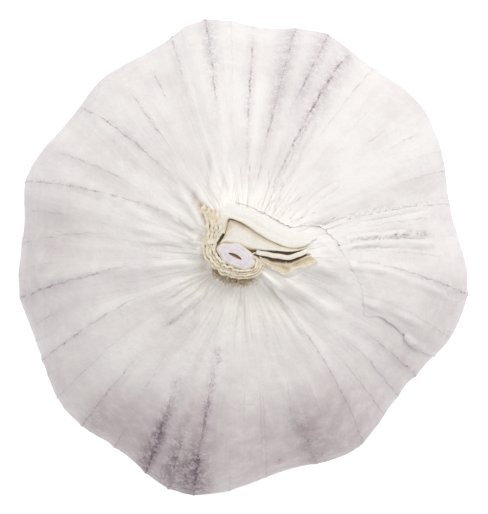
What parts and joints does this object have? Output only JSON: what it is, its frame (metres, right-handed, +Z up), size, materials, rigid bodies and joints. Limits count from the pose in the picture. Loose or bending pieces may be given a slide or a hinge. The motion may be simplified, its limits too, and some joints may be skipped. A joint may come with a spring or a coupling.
{
  "type": "garlic bulb",
  "caption": "Whole garlic bulb: lobed cloves in white papery skin, a short cut neck of dry leaf bases and a flat root plate.",
  "frame": {"origin": "centre of the root plate's flat underside, on the surface the bulb rests on", "axes": "+Z up through the neck; +X towards the flattened tip of the neck; +Y across it, completing the right-handed set"},
  "size_m": [0.0601, 0.0636, 0.0486],
  "materials": {
    "papery_skin": "dry silky papery skin with fine purple-grey veins",
    "dry_sheath": "dry cream to tan fibrous leaf base",
    "root_tissue": "dry corky brown"
  },
  "bodies": {
    "root": {"bulb_body": "papery_skin", "torn_outer_leaf": "papery_skin", "root_plate": "root_tissue", "neck_core": "dry_sheath", "inner_sheath": "dry_sheath", "outer_sheath": "dry_sheath", "upper_sheath": "dry_sheath", "folded_leaf": "dry_sheath", "front_leaf": "dry_sheath"}
  },
  "joints": []
}
